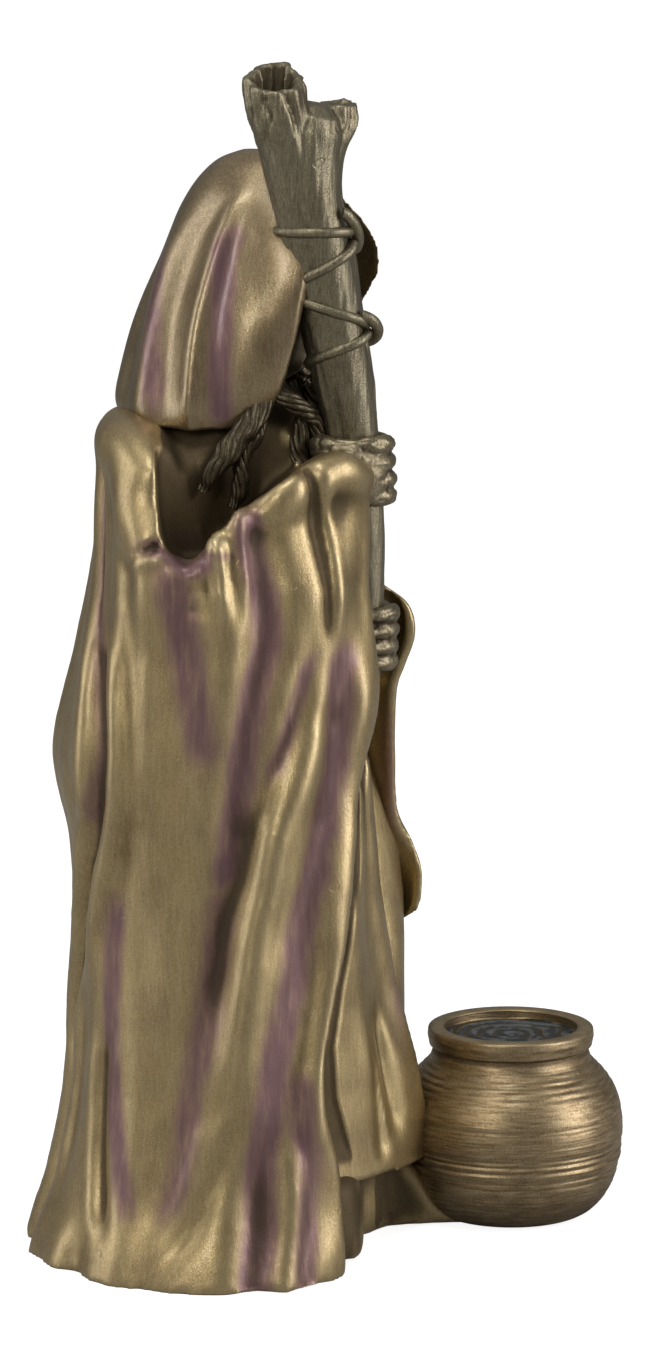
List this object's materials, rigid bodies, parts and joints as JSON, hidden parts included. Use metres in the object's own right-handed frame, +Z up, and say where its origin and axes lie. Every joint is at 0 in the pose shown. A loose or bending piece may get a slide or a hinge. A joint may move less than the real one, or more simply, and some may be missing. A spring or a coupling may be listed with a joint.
{
  "type": "triple goddess statue",
  "caption": "Small cast figurine of a hooded crone in a long draped cloak, leaning on a forked staff bound with cord, with a round pot at her feet; stands on its own underside.",
  "frame": {"origin": "on the flat underside, midway between the back hem of the cloak and the front of the pot, under the two hands that hold the staff", "axes": "+Z up along the standing figure, -Y the way she faces, with the pot, and -X towards her right hand side"},
  "size_m": [0.1022, 0.1454, 0.2832],
  "materials": {
    "bronze_resin": "antique bronze finish on cold cast resin, satin, with purple washes in the folds"
  },
  "bodies": {
    "root": {"hooded_crone_statue": "bronze_resin"}
  },
  "joints": []
}
